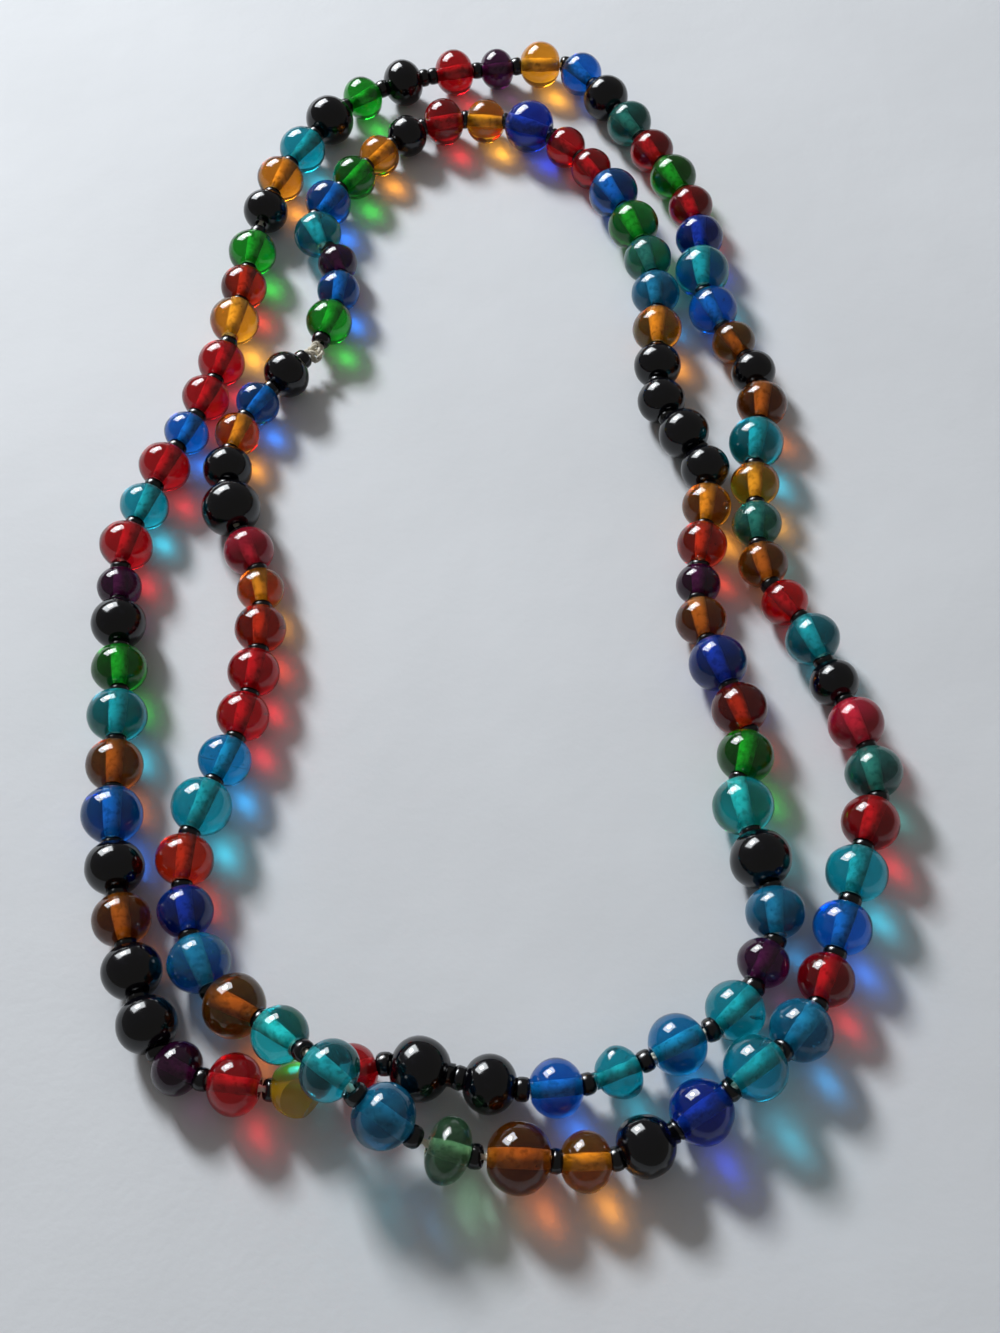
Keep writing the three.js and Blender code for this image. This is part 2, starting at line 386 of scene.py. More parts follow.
class Bead:
    """A bead on the strand: its size, its place and its directions."""

    def __init__(self, number, colour, diameter, at, along):
        self.number, self.colour, self.radius = number, colour, diameter / 2
        self.spacers = 2 if number in TWO_SPACERS else 1  # that come before it
        rise = RAISED.get(number, 0)
        climb = (RAISED.get(number + 1, 0) - RAISED.get(number - 1, 0)) / (2 * diameter) if rise else 0
        self.at = Vector((at.x, at.y, self.radius + rise))
        self.along = Vector((along.x, along.y, climb)).normalized()
        self.side = Vector((self.along.y, -self.along.x, 0)).normalized()

    def turned(self, spin):
        """The turn from a form's own axes to the bead's, after a spin about the thread."""
        across = self.along.cross(self.side)
        stand = Matrix((self.side, across, self.along)).transposed().to_quaternion()
        return stand @ Quaternion((0, 0, 1), spin)

    def mouth(self, way):
        """Where a spacer seats, at the far end (way 1) or the near end (way -1)."""
        form = FORMS[self.form]
        reach = SEAT * form.length / FORMS["round"].length + form.collars[way > 0]
        return self.at + self.along * (way * reach * self.radius)


def read_beads(strand, words):
    """A stretch's words, without the size marks of beads, each with the thread that it takes."""
    for word in words.split():
        if word == ":":
            yield word, strand.bare_thread
        elif word == "knot":
            yield word, strand.knot_room
        else:
            yield word.rstrip("+-"), strand.plain_bead + strand.mark * (word.count("+") - word.count("-"))


def lay_out(strand):
    """Every bead with the frame's node that it belongs to, and the knot's place and direction."""
    route = follow_route([Vector((*point, 0)) for stretch in STRETCHES for point in stretch.through])
    beads, knot = [], None
    points_before = 0
    for stretch in STRETCHES:
        reached = route[1][points_before * STEPS]
        points_before += len(stretch.through)
        items = list(read_beads(strand, stretch.beads))
        stretching = (route[1][points_before * STEPS] - reached) / sum(room for _, room in items)
        first = len(beads)
        for word, room in items:
            at, along = place_at(route, reached + room * stretching / 2)
            reached += room * stretching
            if word == "knot":
                knot = at, along
            elif word != ":":
                beads.append(Bead(len(beads) + 1, word, room, at, along))
        name_runs(beads[first:], stretch.name)
    low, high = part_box("knot")
    shift = (low + high) / 2 - knot[0] - KNOT_ASIDE
    shift.z = 0
    draw = random.Random(strand.shuffle)
    for bead in beads:
        bead.at += shift
        bead.form = ODD_BEADS.get(bead.number, draw.choice(PLAIN_FORMS))
        bead.spin = 0 if bead.number in ODD_BEADS else draw.uniform(0, math.tau)
        bead.shade = draw.uniform(-1, 1)
    return beads, (knot[0] + shift + KNOT_ASIDE, knot[1])


def name_runs(beads, stretch):
    """Gives each bead of a stretch the name of its node: a stretch is cut in runs of nearly equal number."""
    count = math.ceil(len(beads) / BEADS_PER_RUN)
    for i in range(count):
        # Half an item rounds up, as it did when the runs were cut.
        first, last = (math.floor(edge * len(beads) / count + 0.5) for edge in (i, i + 1))
        for bead in beads[first:last]:
            bead.node = f"{stretch}_{i + 1}"


# Node trees.


def put(tree, kind, inputs=None, **settings):
    """A node of that kind with its settings, and each named input set to a value or linked to a socket."""
    node = tree.nodes.new(kind)
    for setting, value in settings.items():
        setattr(node, setting, value)
    for name, value in (inputs or {}).items():
        if isinstance(value, bpy.types.NodeSocket):
            tree.links.new(value, node.inputs[name])
        else:
            node.inputs[name].default_value = value
    return node


def start_tree(name, **inputs):
    """An empty node tree with a geometry input and output and these further inputs, and its input node."""
    tree = bpy.data.node_groups.new(name, "GeometryNodeTree")
    tree.interface.new_socket("Geometry", in_out="OUTPUT", socket_type="NodeSocketGeometry")
    tree.interface.new_socket("Geometry", in_out="INPUT", socket_type="NodeSocketGeometry")
    for label, socket_type in inputs.items():
        tree.interface.new_socket(label, in_out="INPUT", socket_type=socket_type)
    return tree, put(tree, "NodeGroupInput").outputs


def end_tree(tree, geometry, material):
    """Ends a tree: realized instances, in one material."""
    real = put(tree, "GeometryNodeRealizeInstances", {"Geometry": geometry})
    made = put(tree, "GeometryNodeSetMaterial", {"Geometry": real.outputs[0], "Material": material})
    put(tree, "NodeGroupOutput", {"Geometry": made.outputs[0]})


def threading_tree():
    """Stands a form on each point, with the point's own form number, size and turn."""
    tree, given = start_tree("Threading", Forms="NodeSocketCollection", Material="NodeSocketMaterial")
    forms = put(
        tree, "GeometryNodeCollectionInfo",
        {"Collection": given["Forms"], "Separate Children": True, "Reset Children": True},
    )
    form = put(tree, "GeometryNodeInputNamedAttribute", {"Name": "form"}, data_type="INT")
    size = put(tree, "GeometryNodeInputNamedAttribute", {"Name": "size"}, data_type="FLOAT_VECTOR")
    turn = put(tree, "GeometryNodeInputNamedAttribute", {"Name": "turn"}, data_type="QUATERNION")
    stood = put(
        tree, "GeometryNodeInstanceOnPoints",
        {
            "Points": given["Geometry"], "Instance": forms.outputs[0], "Pick Instance": True,
            "Instance Index": form.outputs[0], "Rotation": turn.outputs[0], "Scale": size.outputs[0],
        },
    )
    end_tree(tree, stood.outputs[0], given["Material"])
    return tree


def plying_tree():
    """Winds two plies round a line of thread."""
    tree, given = start_tree(
        "Plying", Ply="NodeSocketFloat", Twist="NodeSocketFloat", Step="NodeSocketFloat",
        Material="NodeSocketMaterial",
    )
    line = put(
        tree, "GeometryNodeResampleCurve", {"Curve": given["Geometry"], "Length": given["Step"]},
        mode="LENGTH",
    ).outputs[0]
    reached = put(tree, "GeometryNodeSplineParameter").outputs["Length"]
    turns = put(tree, "ShaderNodeMath", {0: reached, 1: given["Twist"]}, operation="DIVIDE").outputs[0]
    angle = put(tree, "ShaderNodeMath", {0: turns, 1: math.tau}, operation="MULTIPLY").outputs[0]
    out = put(tree, "GeometryNodeInputNormal").outputs[0]
    along = put(tree, "GeometryNodeInputTangent").outputs[0]
    wound = put(
        tree, "ShaderNodeVectorRotate", {"Vector": out, "Axis": along, "Angle": angle},
        rotation_type="AXIS_ANGLE",
    ).outputs[0]
    half = put(tree, "ShaderNodeMath", {0: given["Ply"], 1: 0.5}, operation="MULTIPLY").outputs[0]
    section = put(
        tree, "GeometryNodeCurvePrimitiveCircle", {"Resolution": PLY_SEGMENTS, "Radius": half}
    ).outputs[0]
    both = put(tree, "GeometryNodeJoinGeometry")
    for way in (PLY_APART, -PLY_APART):
        reach = put(tree, "ShaderNodeMath", {0: half, 1: way}, operation="MULTIPLY").outputs[0]
        offset = put(tree, "ShaderNodeVectorMath", {0: wound, "Scale": reach}, operation="SCALE").outputs[0]
        moved = put(tree, "GeometryNodeSetPosition", {"Geometry": line, "Offset": offset}).outputs[0]
        ply = put(
            tree, "GeometryNodeCurveToMesh", {"Curve": moved, "Profile Curve": section, "Fill Caps": True}
        ).outputs[0]
        smooth = put(tree, "GeometryNodeSetShadeSmooth", {"Geometry": ply}).outputs[0]
        tree.links.new(smooth, both.inputs[0])
    end_tree(tree, both.outputs[0], given["Material"])
    return tree


def make_by_nodes(name, data, tree, **inputs):
    """The mesh that a tree makes from a mesh or curve, as an object of that name."""
    source = bpy.data.objects.new(name + "_source", data)
    bpy.context.scene.collection.objects.link(source)
    modifier = source.modifiers.new(tree.name, "NODES")
    modifier.node_group = tree
    for item in tree.interface.items_tree:
        if item.in_out == "INPUT" and item.name in inputs:
            modifier[item.identifier] = inputs[item.name]
    source.update_tag()
    made = bpy.data.meshes.new_from_object(source.evaluated_get(bpy.context.evaluated_depsgraph_get()))
    made.name = name
    bpy.data.objects.remove(source)
    return add_object(name, made)


def direction(turn, rise):
    """The direction turned by an angle from +X about Z, and raised by another."""
    return Vector((math.cos(turn) * math.cos(rise), math.sin(turn) * math.cos(rise), math.sin(rise)))


def add_object(name, data):
    made = bpy.data.objects.new(name, data)
    bpy.context.scene.collection.objects.link(made)
    return made


def finish_piece(piece, nodes):
    """The piece rides with the necklace and stands for these nodes of the frame, which it hides."""
    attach(piece, "root")
    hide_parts(*sorted(set(nodes)))


# Forms of beads and spacers, of radius 1.


def turn_outline(bm, outline, segments):
    """Turns a closed outline of (radius, height) about Z, which makes a closed surface."""
    angles = [i * math.tau / segments for i in range(segments)]
    rings = [
        [bm.verts.new((radius * math.cos(angle), radius * math.sin(angle), up)) for angle in angles]
        for radius, up in outline
    ]
    for ring, above in zip(rings, rings[1:] + rings[:1]):
        for i in range(segments):
            j = (i + 1) % segments
            bm.faces.new((ring[i], ring[j], above[j], above[i]))
    bmesh.ops.recalc_face_normals(bm, faces=bm.faces)


def smooth_mesh(name, bm):
    """The finished mesh, with smooth shading."""
    for face in bm.faces:
        face.smooth = True
    mesh = bpy.data.meshes.new(name)
    bm.to_mesh(mesh)
    bm.free()
    return mesh


def bead_outline(form):
    """A bead's outline, from its lower mouth up the wall to its upper mouth and back down the bore."""
    reach = math.acos(LIP ** (1 / form.fullness))
    wall = []
    for i in range(ARC_ROWS):
        t = reach * (2 * i / (ARC_ROWS - 1) - 1)
        up = form.length * math.sin(t)
        wall.append((math.cos(t) ** form.fullness * (1 - form.taper * up), up))
    near, far = form.collars
    if near:
        wall.insert(0, (wall[0][0], wall[0][1] - near))
    if far:
        wall.append((wall[-1][0], wall[-1][1] + far))
    top, bottom = wall[-1], wall[0]
    upper = [(radius, top[1] + rise) for radius, rise in MOUTH]
    lower = [(radius, bottom[1] - rise) for radius, rise in reversed(MOUTH)]
    bore = [(BORE, up) for up in (top[1] - MOUTH_DEPTH, 0, bottom[1] + MOUTH_DEPTH)]
    return wall + upper + bore + lower


def bead_form(name, form, clear):
    """A bead of radius 1 round its bore, with the bubbles of clear glass. Each point keeps its place on the
    bead, and is marked where it lies in the bore or in a hollow."""
    bm = bmesh.new()
    place = bm.verts.layers.float_vector.new("bead_place")
    core = bm.verts.layers.float.new("core")
    turn_outline(bm, bead_outline(form), SEGMENTS)
    draw = random.Random(name)
    apart = Vector([draw.uniform(-50, 50) for _ in range(3)])
    for v in bm.verts:
        out = math.hypot(v.co.x, v.co.y)
        v[core] = 1.0 if out < IN_MOUTH else 0.0
        share = max(0, (out - BORE) / (1 - BORE))
        grow = form.wobble * sum(part * noise.noise(v.co * close + apart) for close, part in WOBBLES)
        for up, angle, height, width in form.lumps:
            radius = math.sqrt(max(0, 1 - up * up))
            spot = Vector((radius * math.cos(angle), radius * math.sin(angle), up))
            grow += height * math.exp(-((v.co - spot).length / width) ** 2)
        v.co *= 1 + share * grow
    widest = max(math.hypot(v.co.x, v.co.y) for v in bm.verts)
    for v in bm.verts:
        v.co /= max(widest, 1)
    if clear:
        add_bubbles(bm, form, draw)
    add_cracks(bm, form)
    for v in bm.verts:
        v[place] = v.co
    return smooth_mesh(name, bm)


def lining_form(name, form):
    """The clay that lines the bore of such a bead, stuck to the glass."""
    reach = form.length * math.sin(math.acos(LIP ** (1 / form.fullness))) - MOUTH_DEPTH
    outer, inner = LINING
    bm = bmesh.new()
    further = reach + LINING_BEVEL
    outline = [(outer, -reach), (outer, reach), (inner, further), (inner, -further)]
    turn_outline(bm, outline, LINING_SEGMENTS)
    return smooth_mesh(name, bm)


def add_bubbles(bm, form, draw):
    """Small hollows in the glass, whose faces look into the hollow."""
    for _ in range(form.bubbles):
        out, angle = draw.uniform(*BUBBLE_OUT), draw.uniform(0, math.tau)
        up = draw.uniform(-BUBBLE_UP, BUBBLE_UP) * form.length * math.sqrt(1 - out * out)
        size = draw.uniform(*BUBBLE_SIZE)
        at = Matrix.Translation((out * math.cos(angle), out * math.sin(angle), up))
        add_hollow(bm, at @ Matrix.Scale(size, 4), 2)


def add_cracks(bm, form):
    """Thin cracks inside the glass, beside the bore."""
    for beside in form.cracks:
        at = Matrix.Rotation(CRACK_LEAN, 4, "X") @ Matrix.Translation((beside, 0, CRACK_RISE))
        add_hollow(bm, at @ Matrix.Diagonal((*CRACK, 1)), 3)


def add_hollow(bm, placing, fineness):
    """A closed hollow in the glass: a ball of radius 1, placed, whose faces look into it."""
    made = bmesh.ops.create_icosphere(bm, subdivisions=fineness, radius=1, matrix=placing)
    core = bm.verts.layers.float["core"]
    for v in made["verts"]:
        v[core] = 1.0
    faces = list({face for v in made["verts"] for face in v.link_faces})
    bmesh.ops.reverse_faces(bm, faces=faces)


def spacer_form():
    """A spacer of radius 1 and half length 1: a short rounded tube."""
    bm = bmesh.new()
    upper = list(SPACER_OUTLINE)
    turn_outline(bm, upper + [(radius, -up) for radius, up in reversed(upper[:-1])], SPACER_SEGMENTS)
    return smooth_mesh("spacer", bm)


def shelve(meshes):
    """The forms in a collection off the scene, in the order in which their names sort."""
    shelf = bpy.data.collections.new("Forms")
    for i, mesh in enumerate(meshes):
        shelf.objects.link(bpy.data.objects.new(f"form_{i:02}", mesh))
    return shelf


def clear_shelf(shelf):
    for form in list(shelf.objects):
        bpy.data.objects.remove(form)
    bpy.data.collections.remove(shelf)


def points_mesh(name, rows):
    """A mesh of loose points, each with its form's number, its size, its turn and its shade."""
    mesh = bpy.data.meshes.new(name)
    mesh.from_pydata([row["at"] for row in rows], [], [])
    for label, kind, field in (
        ("form", "INT", "value"), ("shade", "FLOAT", "value"), ("size", "FLOAT_VECTOR", "vector"),
        ("turn", "QUATERNION", "value"),
    ):
        attribute = mesh.attributes.new(label, kind, "POINT")
        for item, row in zip(attribute.data, rows):
            setattr(item, field, row[label])
    return mesh


def thread_forms(name, beads, build, material, *facts):
    """A form for each of these beads, of its own size and turn, as one piece."""
    names = sorted(FORMS)
    shelf = shelve([build(form, FORMS[form], *facts) for form in names])
    rows = [
        {
            "at": bead.at, "form": names.index(bead.form), "shade": bead.shade, "size": [bead.radius] * 3,
            "turn": bead.turned(bead.spin),
        }
        for bead in beads
    ]
    piece = make_by_nodes(name, points_mesh(name, rows), threading_tree(), Forms=shelf, Material=material)
    clear_shelf(shelf)
    return piece


# Finishes.


def start_material(name):
    material = bpy.data.materials.new(name)
    material.use_nodes = True
    material.node_tree.nodes.clear()
    return material, material.node_tree


def mixed(tree, share, first, second):
    """A colour between two others."""
    return put(tree, "ShaderNodeMix", {0: share, 6: first, 7: second}, data_type="RGBA").outputs[2]


def scaled(tree, vector, by):
    return put(tree, "ShaderNodeVectorMath", {0: vector, "Scale": by}, operation="SCALE").outputs[0]


def ranged(tree, value, *bounds, **settings):
    """A value moved from one range to another: its low and high end, then the new low and high end."""
    inputs = dict(zip(("From Min", "From Max", "To Min", "To Max"), bounds), Value=value)
    return put(tree, "ShaderNodeMapRange", inputs, **settings).outputs[0]


def uneven_wall(tree, strength):
    """The slightly uneven wall of glass shaped by hand."""
    coords = put(tree, "ShaderNodeTexCoord").outputs["Object"]
    waves = put(tree, "ShaderNodeTexNoise", {"Vector": coords, "Scale": WALL_WAVES, "Detail": 2}).outputs[0]
    return put(
        tree, "ShaderNodeBump", {"Strength": strength, "Distance": 0.0004, "Height": waves}
    ).outputs[0]


def swirls(tree):
    """Streaks that wind through a bead, other ones in each bead: from 0 to 1, about 0.5."""
    place = put(tree, "ShaderNodeAttribute", attribute_name="bead_place").outputs["Vector"]
    shade = put(tree, "ShaderNodeAttribute", attribute_name="shade").outputs["Fac"]
    which = put(tree, "ShaderNodeMath", {0: shade, 1: SWIRLS_APART}, operation="MULTIPLY").outputs[0]
    return put(
        tree, "ShaderNodeTexNoise",
        {"Vector": place, "W": which, "Scale": SWIRLS, "Detail": 3, "Distortion": 1.4},
        noise_dimensions="4D",
    ).outputs[0]


def clear_glass(name, colour, glass):
    """Coloured glass that lets light through. Toward the light a bead is brightest through its middle, as a
    lens is, so that its shadow has a bright coloured heart."""
    material, tree = start_material(name)
    streaks = swirls(tree)
    dark = [(1 - glass.swirl) * channel for channel in colour]
    light = [channel ** (1 - STREAK_LIGHT * glass.swirl) for channel in colour]
    tint = mixed(tree, ranged(tree, streaks, 0.3, 0.7, 0, 1), (*dark, 1), (*light, 1))
    core = put(tree, "ShaderNodeAttribute", attribute_name="core").outputs["Fac"]
    body = put(
        tree, "ShaderNodeBsdfPrincipled",
        {
            "Base Color": mixed(tree, core, tint, (1, 1, 1, 1)), "Transmission Weight": 1 - glass.milk,
            "Roughness": ranged(tree, streaks, 0, 1, 0, 2 * glass.haze), "IOR": GLASS_IOR,
            "Normal": uneven_wall(tree, 0.04),
        },
    )
    edge = put(tree, "ShaderNodeLayerWeight").outputs["Facing"]
    focus = ranged(
        tree, edge, 0.0, HEART_WIDTH, HEART_LIGHT, HEART_EDGE, interpolation_type="SMOOTHSTEP"
    )
    through = scaled(tree, [channel**HEART_DEPTH for channel in colour], focus)
    passing = put(tree, "ShaderNodeBsdfTransparent", {"Color": mixed(tree, core, through, (1, 1, 1, 1))})
    to_lamp = put(tree, "ShaderNodeLightPath").outputs["Is Shadow Ray"]
    surface = put(tree, "ShaderNodeMixShader", {0: to_lamp, 1: body.outputs[0], 2: passing.outputs[0]})
    within = [1 - glass.depth * (1 - channel) for channel in colour]
    depth = put(tree, "ShaderNodeVolumeAbsorption", {"Color": (*within, 1), "Density": GLASS_DENSITY})
    put(tree, "ShaderNodeOutputMaterial", {"Surface": surface.outputs[0], "Volume": depth.outputs[0]})
    return material


def black_glass(name, colour, roughness):
    """Glass so deep that it is opaque, with faint pale streaks and pits."""
    material, tree = start_material(name)
    coords = put(tree, "ShaderNodeTexCoord").outputs["Object"]
    wear = put(tree, "ShaderNodeTexNoise", {"Vector": coords, "Scale": PITS, "Detail": 4}).outputs[0]
    lighter = [3 * channel for channel in colour]
    tint = mixed(tree, ranged(tree, wear, 0.58, 0.75, 0, 1), (*colour, 1), (*lighter, 1))
    body = put(
        tree, "ShaderNodeBsdfPrincipled",
        {
            "Base Color": tint, "Roughness": ranged(tree, wear, 0.3, 0.8, roughness, 3 * roughness),
            "IOR": GLASS_IOR, "Normal": uneven_wall(tree, 0.05),
        },
    )
    put(tree, "ShaderNodeOutputMaterial", {"Surface": body.outputs[0]})
    return material


def thread_finish(colour):
    """Soft spun fibre: fine darker strands along the ply."""
    material, tree = start_material("thread")
    coords = put(tree, "ShaderNodeTexCoord").outputs["Object"]
    fibres = put(tree, "ShaderNodeTexNoise", {"Vector": coords, "Scale": FIBRES, "Detail": 3}).outputs[0]
    dark = [0.62 * channel for channel in colour]
    tint = mixed(tree, ranged(tree, fibres, 0.35, 0.65, 0, 1), (*dark, 1), (*colour, 1))
    fuzz = put(tree, "ShaderNodeBump", {"Strength": 0.5, "Distance": 0.00008, "Height": fibres}).outputs[0]
    body = put(
        tree, "ShaderNodeBsdfPrincipled",
        {"Base Color": tint, "Roughness": 0.85, "Sheen Weight": 0.3, "Normal": fuzz},
    )
    put(tree, "ShaderNodeOutputMaterial", {"Surface": body.outputs[0]})
    return material


def clay_finish(colour):
    """Matt clay, patchy where some of it has come away."""
    material, tree = start_material("bore_clay")
    coords = put(tree, "ShaderNodeTexCoord").outputs["Object"]
    scales = {"Vector": coords, "Scale": CLAY_PATCHES, "Detail": 3}
    patches = put(tree, "ShaderNodeTexNoise", scales).outputs[0]
    dark = [0.55 * channel for channel in colour]
    tint = mixed(tree, ranged(tree, patches, 0.34, 0.52, 0, 1), (*dark, 1), (*colour, 1))
    body = put(
        tree, "ShaderNodeBsdfPrincipled",
        {
            "Base Color": tint, "Roughness": 0.9, "Subsurface Weight": 1.0, "Subsurface Radius": (1, 1, 1),
            "Subsurface Scale": 0.001,
        },
    )
    put(tree, "ShaderNodeOutputMaterial", {"Surface": body.outputs[0]})
    return material


def paper_finish(colour):
    """Matt paper with a faint tooth and the very slight cockle of a sheet that has been handled."""
    material, tree = start_material("paper")
    coords = put(tree, "ShaderNodeTexCoord").outputs["Object"]
    cloud = put(tree, "ShaderNodeTexNoise", {"Vector": coords, "Scale": PAPER_CLOUDS, "Detail": 4}).outputs[0]
    tooth = put(tree, "ShaderNodeTexNoise", {"Vector": coords, "Scale": PAPER_TOOTH, "Detail": 3}).outputs[0]
    dark = [0.94 * channel for channel in colour]
    tint = mixed(tree, ranged(tree, cloud, 0.3, 0.7, 0, 1), (*dark, 1), (*colour, 1))
    cockle = put(tree, "ShaderNodeBump", {"Strength": 0.25, "Distance": 0.002, "Height": cloud}).outputs[0]
    grain = put(
        tree, "ShaderNodeBump", {"Strength": 0.15, "Distance": 0.0002, "Height": tooth, "Normal": cockle}
    ).outputs[0]
    body = put(tree, "ShaderNodeBsdfPrincipled", {"Base Color": tint, "Roughness": 0.7, "Normal": grain})
    put(tree, "ShaderNodeOutputMaterial", {"Surface": body.outputs[0]})
    return material


def finish_of(name, build, *facts):
    """The finish of that name, made the first time that it is asked for."""
    return bpy.data.materials.get(name) or build(*facts)


# Operators.


class NECKLACE_OT_clear_beads(bpy.types.Operator):
    """Makes the beads of clear and coloured glass, one piece for each colour"""

    bl_idname = "necklace.clear_beads"
    bl_label = "Clear Beads"

    def execute(self, context):
        beads, _ = lay_out(context.scene.necklace_strand)
        for colour, glass in GLASSES.items():
            tint = getattr(context.scene.necklace_finish, colour)
            material = clear_glass(glass.slot, tint, glass)
            alike = [bead for bead in beads if bead.colour == colour]
            piece = thread_forms(f"beads_{colour}", alike, bead_form, material, True)
            finish_piece(piece, [bead.node for bead in alike])
        return {"FINISHED"}


class NECKLACE_OT_black_beads(bpy.types.Operator):
    """Makes the black glass beads"""

    bl_idname = "necklace.black_beads"
    bl_label = "Black Beads"

    def execute(self, context):
        beads, _ = lay_out(context.scene.necklace_strand)
        material = black_glass("black_glass", context.scene.necklace_finish.black, 0.06)
        alike = [bead for bead in beads if bead.colour == "black"]
        piece = thread_forms("beads_black", alike, bead_form, material, False)
        finish_piece(piece, [bead.node for bead in alike])
        return {"FINISHED"}


class NECKLACE_OT_linings(bpy.types.Operator):
    """Makes the pale clay that is left in the bore of each clear bead and shows through the glass"""

    bl_idname = "necklace.linings"
    bl_label = "Bore Linings"

    def execute(self, context):
        beads, _ = lay_out(context.scene.necklace_strand)
        clear = [bead for bead in beads if bead.colour in GLASSES]
        material = clay_finish(context.scene.necklace_finish.clay)
        piece = thread_forms("bore_linings", clear, lining_form, material)
        piece.visible_shadow = False
        finish_piece(piece, [bead.node for bead in clear])
        return {"FINISHED"}


class NECKLACE_OT_chipped_bead(bpy.types.Operator):
    """Makes the small broken bead, a round one with corners knocked off"""

    bl_idname = "necklace.chipped_bead"
    bl_label = "Chipped Bead"

    def execute(self, context):
        beads, _ = lay_out(context.scene.necklace_strand)
        bead = next(bead for bead in beads if bead.colour == "chipped")
        mesh = bead_form("chipped", FORMS["full"], False)
        bm = bmesh.new()
        bm.from_mesh(mesh)
        for distance, turn, lean in CHIPS:
            facing = direction(turn, lean)
            cut = bmesh.ops.bisect_plane(
                bm, geom=bm.verts[:] + bm.edges[:] + bm.faces[:], plane_co=facing * distance, plane_no=facing,
                clear_outer=True,
            )
            rim = [item for item in cut["geom_cut"] if isinstance(item, bmesh.types.BMEdge)]
            for edge in rim:
                edge.smooth = False
            filled = bmesh.ops.edgeloop_fill(bm, edges=rim)
            bmesh.ops.triangulate(bm, faces=filled["faces"])
        bmesh.ops.recalc_face_normals(bm, faces=bm.faces)
        at = Matrix.Translation(bead.at + Vector((0, 0, CHIPPED_RISE * bead.radius)))
        turned = bead.turned(bead.spin).to_matrix().to_4x4()
        bm.transform(at @ turned @ Matrix.Scale(bead.radius * CHIPPED_SIZE, 4))
        bm.to_mesh(mesh)
        bm.free()
        tint = context.scene.necklace_finish.golden
        mesh.materials.append(finish_of("golden_glass", clear_glass, "golden_glass", tint, GLASSES["golden"]))
        finish_piece(add_object("bead_chipped", mesh), [bead.node])
        return {"FINISHED"}


class NECKLACE_OT_spacers(bpy.types.Operator):
    """Makes the black spacers between the beads"""

    bl_idname = "necklace.spacers"
    bl_label = "Spacers"

    def execute(self, context):
        strand = context.scene.necklace_strand
        beads, _ = lay_out(strand)
        draw = random.Random(strand.shuffle + 1)
        rows = []
        for before, after in zip(beads, beads[1:] + beads[:1]):
            start, end = before.mouth(1), after.mouth(-1)
            if after.number == 1:
                rows += spacers_by_knot(strand, before, after, draw)
                continue
            step = (end - start) / after.spacers
            length = min(step.length, SPACER_LENGTH)
            slack = (1 - length / step.length) * draw.uniform(0, after.spacers)
            for i in range(after.spacers):
                at = start + step * (slack + (i + 0.5) * length / step.length)
                rows.append(spacer_row(strand, at, step.normalized() * length, draw))
        shelf = shelve([spacer_form()])
        material = black_glass("spacer_glass", context.scene.necklace_finish.black, 0.10)
        piece = make_by_nodes(
            "spacers", points_mesh("spacers", rows), threading_tree(), Forms=shelf, Material=material
        )
        clear_shelf(shelf)
        finish_piece(piece, [bead.node for bead in beads])
        return {"FINISHED"}


def spacer_row(strand, at, reach, draw):
    """A spacer at a place, as long as its reach, leaning a little on the thread."""
    lean = Vector([draw.uniform(-SPACER_LEAN, SPACER_LEAN) for _ in range(3)])
    turn = (reach.normalized() + lean).to_track_quat("Z", "Y")
    radius = strand.spacer / 2 * draw.uniform(*SPACER_SIZES)
    return {"at": at, "form": 0, "shade": 0, "size": (radius, radius, reach.length / 2), "turn": turn}


def spacers_by_knot(strand, before, after, draw):
    """The two spacers that hold the knot between the last bead and the first."""
    length = KNOT_SPACER * strand.spacer
    return [
        spacer_row(strand, before.mouth(1) + before.along * length / 2, before.along * length, draw),
        spacer_row(strand, after.mouth(-1) - after.along * length / 2, after.along * length, draw),
    ]


def closed_curve(name, points):
    """A smooth closed curve near these points."""
    curve = bpy.data.curves.new(name, "CURVE")
    curve.dimensions = "3D"
    curve.twist_mode = "Z_UP"
    spline = curve.splines.new("NURBS")
    spline.points.add(len(points) - 1)
    for spot, point in zip(spline.points, points):
        spot.co = (*point, 1)
    spline.use_cyclic_u = True
    spline.order_u = 3
    spline.resolution_u = 12
    return curve


class NECKLACE_OT_thread(bpy.types.Operator):
    """Makes the two-ply thread through every bead"""

    bl_idname = "necklace.thread"
    bl_label = "Thread"

    def execute(self, context):
        strand = context.scene.necklace_strand
        beads, _ = lay_out(strand)
        points = []
        for bead in beads:
            points += [bead.mouth(-1), bead.at, bead.mouth(1)]
        piece = make_by_nodes(
            "thread", closed_curve("thread", points), plying_tree(), Ply=strand.ply, Twist=strand.twist,
            Step=strand.ply,
            Material=finish_of("thread", thread_finish, context.scene.necklace_finish.thread),
        )
        piece.visible_shadow = False
        finish_piece(piece, [bead.node for bead in beads])
        return {"FINISHED"}


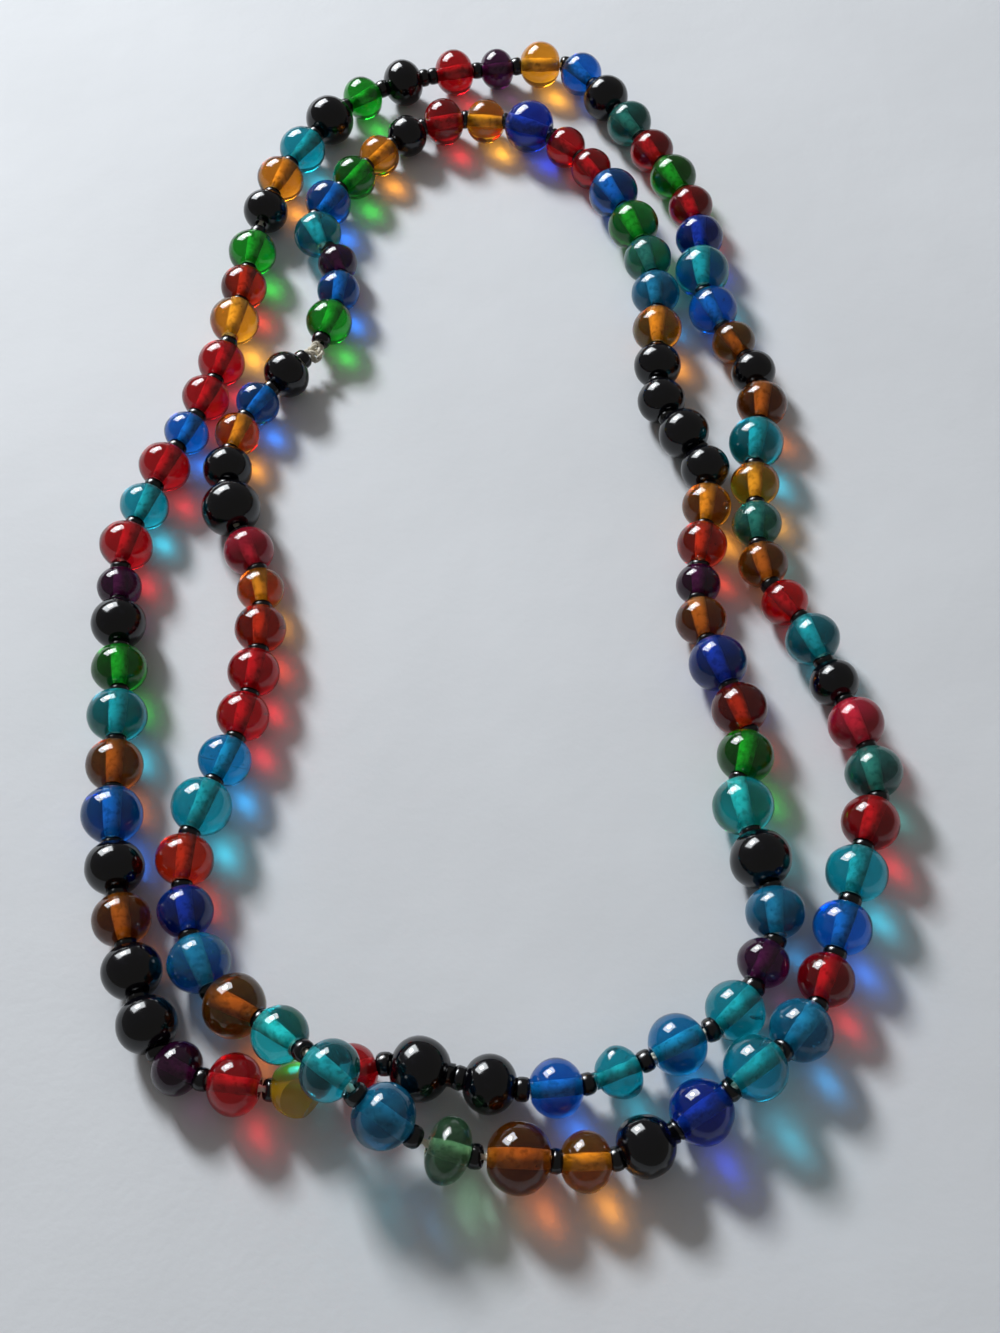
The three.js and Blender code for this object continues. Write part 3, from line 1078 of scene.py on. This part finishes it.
class NECKLACE_OT_knot(bpy.types.Operator):
    """Makes the knot that closes the strand, its thread wound as a trefoil"""

    bl_idname = "necklace.knot"
    bl_label = "Knot"

    def execute(self, context):
        strand = context.scene.necklace_strand
        _, (at, along) = lay_out(strand)
        low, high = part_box("knot")
        middle = Vector((at.x, at.y, (low.z + high.z) / 2))
        turn = along.to_track_quat("Y", "Z")
        points = []
        for i in range(KNOT_POINTS):
            t = math.tau * i / KNOT_POINTS
            across, forward = math.sin(t) + 2 * math.sin(2 * t), math.cos(t) - 2 * math.cos(2 * t)
            up = -KNOT_HEIGHT * math.sin(3 * t)
            points.append(middle + turn @ (KNOT_SIZE * Vector((across, forward, up))))
        piece = make_by_nodes(
            "knot_of_thread", closed_curve("knot_of_thread", points), plying_tree(),
            Ply=strand.ply * KNOT_PLY, Twist=strand.twist * KNOT_TWIST, Step=strand.ply * KNOT_STEP,
            Material=finish_of("thread", thread_finish, context.scene.necklace_finish.thread),
        )
        finish_piece(piece, ["knot"])
        return {"FINISHED"}


def add_lamp(name, size, power):
    """A rectangle of light in the window."""
    way = direction(math.pi / 2 + WINDOW_TURN, WINDOW_RISE)
    lamp = bpy.data.lights.new(name, "AREA")
    lamp.shape = "RECTANGLE"
    lamp.size, lamp.size_y = size
    lamp.energy = power
    lamp.color = DAYLIGHT
    lit = add_object(name, lamp)
    lit.location = WINDOW_DISTANCE * way
    lit.rotation_euler = way.to_track_quat("Z", "Y").to_euler()
    return lit


class NECKLACE_OT_stage(bpy.types.Operator):
    """Sets the paper, the window light, the even light of the room and the camera"""

    bl_idname = "necklace.stage"
    bl_label = "Stage"

    def execute(self, context):
        stage = context.scene.necklace_stage
        bm = bmesh.new()
        bmesh.ops.create_grid(bm, x_segments=8, y_segments=8, size=stage.paper_width / 2)
        mesh = bpy.data.meshes.new("paper")
        bm.to_mesh(mesh)
        bm.free()
        mesh.materials.append(paper_finish(stage.paper))
        paper = add_object("paper", mesh)
        paper.location.z = -PAPER_DROP

        add_lamp("sky", SKY, stage.window_power)
        pane = add_lamp("pane", PANE, stage.gloss_power)
        pane.visible_diffuse = False

        world = bpy.data.worlds.new("room")
        world.use_nodes = True
        context.scene.world = world
        background = world.node_tree.nodes["Background"]
        background.inputs["Color"].default_value = ROOM_TINT
        background.inputs["Strength"].default_value = stage.room_light

        camera = bpy.data.cameras.new("camera")
        camera.lens = stage.lens
        camera.clip_start = 0.01
        viewer = add_object("camera", camera)
        viewer.location = stage.camera_place
        viewer.rotation_euler = (stage.camera_tilt, 0, 0)
        context.scene.camera = viewer
        context.scene.view_settings.view_transform = "Standard"
        return {"FINISHED"}


OPERATORS = (
    NECKLACE_OT_stage,
    NECKLACE_OT_clear_beads,
    NECKLACE_OT_black_beads,
    NECKLACE_OT_chipped_bead,
    NECKLACE_OT_linings,
    NECKLACE_OT_spacers,
    NECKLACE_OT_thread,
    NECKLACE_OT_knot,
)


class VIEW3D_PT_necklace(bpy.types.Panel):
    """Lists the necklace's pieces and its settings"""

    bl_label = "Necklace"
    bl_idname = "VIEW3D_PT_necklace"
    bl_space_type = "VIEW_3D"
    bl_region_type = "UI"
    bl_category = "Necklace"

    def draw(self, context):
        for operator in OPERATORS:
            self.layout.operator(operator.bl_idname)
        for settings in (
            context.scene.necklace_strand, context.scene.necklace_finish, context.scene.necklace_stage
        ):
            box = self.layout.box()
            for name in settings.bl_rna.properties.keys():
                if name not in ("rna_type", "name"):
                    box.prop(settings, name)


CLASSES = (StrandSettings, FinishSettings, StageSettings, *OPERATORS, VIEW3D_PT_necklace)


def register():
    for item in CLASSES:
        bpy.utils.register_class(item)
    bpy.types.Scene.necklace_strand = bpy.props.PointerProperty(type=StrandSettings)
    bpy.types.Scene.necklace_finish = bpy.props.PointerProperty(type=FinishSettings)
    bpy.types.Scene.necklace_stage = bpy.props.PointerProperty(type=StageSettings)


def unregister():
    del bpy.types.Scene.necklace_stage
    del bpy.types.Scene.necklace_finish
    del bpy.types.Scene.necklace_strand
    for item in reversed(CLASSES):
        bpy.utils.unregister_class(item)


def main():
    register()
    for operator in OPERATORS:
        group, name = operator.bl_idname.split(".")
        getattr(getattr(bpy.ops, group), name)()


if __name__ == "__main__":
    main()
